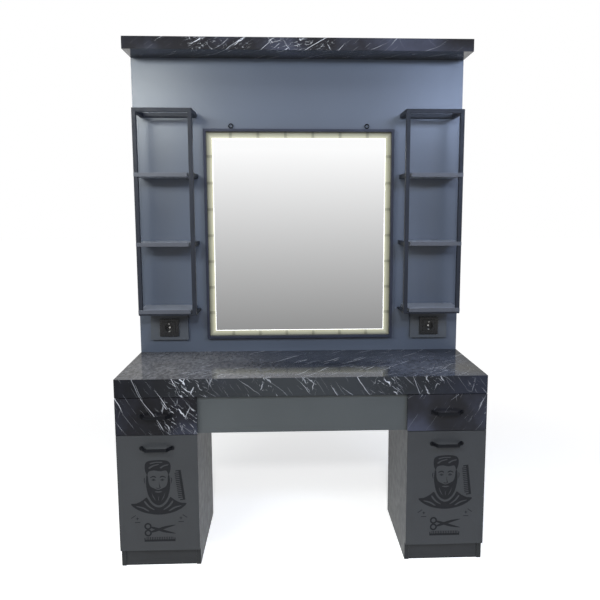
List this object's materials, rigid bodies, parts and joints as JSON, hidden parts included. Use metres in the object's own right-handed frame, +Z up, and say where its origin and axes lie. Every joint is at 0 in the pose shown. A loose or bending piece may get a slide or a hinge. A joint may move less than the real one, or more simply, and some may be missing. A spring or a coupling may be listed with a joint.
{
  "type": "salon styling station",
  "caption": "Wall-standing salon styling station: marble-look worktop on two cabinets with drawers and tilting bins, back-lit mirror, open shelf units, sockets and a canopy.",
  "frame": {"origin": "on the floor, under the middle of the station's bounding box", "axes": "+Z up, the fronts and the mirror face -Y, +X to the right seen from the front"},
  "size_m": [1.5, 0.58, 2.185],
  "materials": {
    "marble_laminate": "gloss",
    "panel_laminate": "satin",
    "carcass_laminate": "satin",
    "front_laminate": "satin",
    "shelf_laminate": "satin",
    "inner_laminate": "matte",
    "dark_powder_coat": "satin",
    "handle_black": "satin",
    "black_plastic": "satin",
    "white_plastic": "matte",
    "white_board": "matte",
    "light_strip": "matte",
    "mirror": "gloss",
    "contact_metal": "gloss",
    "zinc_steel": "satin"
  },
  "bodies": {
    "station": {"worktop": "marble_laminate", "apron": "carcass_laminate", "back_panel": "panel_laminate", "panel_bolts": "zinc_steel", "canopy_bottom": "marble_laminate", "canopy_top": "marble_laminate", "canopy_edges": "marble_laminate", "led_driver": "white_plastic", "mirror_frame": "dark_powder_coat", "mirror_tray": "white_board", "led_strip": "light_strip", "mirror_glass": "mirror", "mirror_clips": "dark_powder_coat", "mirror_eyelets": "dark_powder_coat", "left_shelf_frame": "dark_powder_coat", "left_upper_shelf": "shelf_laminate", "left_middle_shelf": "shelf_laminate", "left_bottom_shelf": "shelf_laminate", "right_shelf_frame": "dark_powder_coat", "right_upper_shelf": "shelf_laminate", "right_middle_shelf": "shelf_laminate", "right_bottom_shelf": "shelf_laminate", "left_socket_box": "panel_laminate", "right_socket_box": "panel_laminate", "socket_frames": "black_plastic", "socket_inserts": "black_plastic", "socket_contacts": "contact_metal", "left_cabinet_sides": "carcass_laminate", "left_cabinet_back": "carcass_laminate", "left_cabinet_floor": "carcass_laminate", "left_cabinet_rails": "carcass_laminate", "left_plinth": "carcass_laminate", "right_cabinet_sides": "carcass_laminate", "right_cabinet_back": "carcass_laminate", "right_cabinet_floor": "carcass_laminate", "right_cabinet_rails": "carcass_laminate", "right_plinth": "carcass_laminate", "runner_rails": "zinc_steel", "bin_hinge_plates": "zinc_steel", "bin_hinge_pins": "zinc_steel"},
    "left_drawer": {"left_drawer_front": "marble_laminate", "left_drawer_box": "inner_laminate", "left_drawer_bottom": "inner_laminate", "left_drawer_handle": "handle_black", "left_runner_slides": "zinc_steel"},
    "right_drawer": {"right_drawer_front": "marble_laminate", "right_drawer_box": "inner_laminate", "right_drawer_bottom": "inner_laminate", "right_drawer_handle": "handle_black", "right_runner_slides": "zinc_steel"},
    "left_runner": {"left_runner_middles": "zinc_steel"},
    "right_runner": {"right_runner_middles": "zinc_steel"},
    "left_bin": {"left_bin_front": "front_laminate", "left_bin_box": "inner_laminate", "left_bin_handle": "handle_black", "left_bin_hinge_leaves": "zinc_steel"},
    "right_bin": {"right_bin_front": "front_laminate", "right_bin_box": "inner_laminate", "right_bin_handle": "handle_black", "right_bin_hinge_leaves": "zinc_steel"}
  },
  "joints": [
    {"name": "left_drawer_slide", "type": "slide", "parent": "station", "child": "left_drawer", "axis": [0, -1, 0], "range_m": [0, 0.36]},
    {"name": "left_runner_slide", "type": "slide", "parent": "station", "child": "left_runner", "axis": [0, -1, 0], "range_m": [0, 0.18]},
    {"name": "left_bin_tilt", "type": "hinge", "parent": "station", "child": "left_bin", "pos_m": [-0.5875, -0.237, 0.073], "axis": [1, 0, 0], "range_deg": [0, 30]},
    {"name": "right_drawer_slide", "type": "slide", "parent": "station", "child": "right_drawer", "axis": [0, -1, 0], "range_m": [0, 0.36]},
    {"name": "right_runner_slide", "type": "slide", "parent": "station", "child": "right_runner", "axis": [0, -1, 0], "range_m": [0, 0.18]},
    {"name": "right_bin_tilt", "type": "hinge", "parent": "station", "child": "right_bin", "pos_m": [0.5875, -0.237, 0.073], "axis": [1, 0, 0], "range_deg": [0, 30]}
  ],
  "couplings": [
    {"joint": "left_runner_slide", "follows": "left_drawer_slide", "ratio": 0.5},
    {"joint": "right_runner_slide", "follows": "right_drawer_slide", "ratio": 0.5}
  ]
}
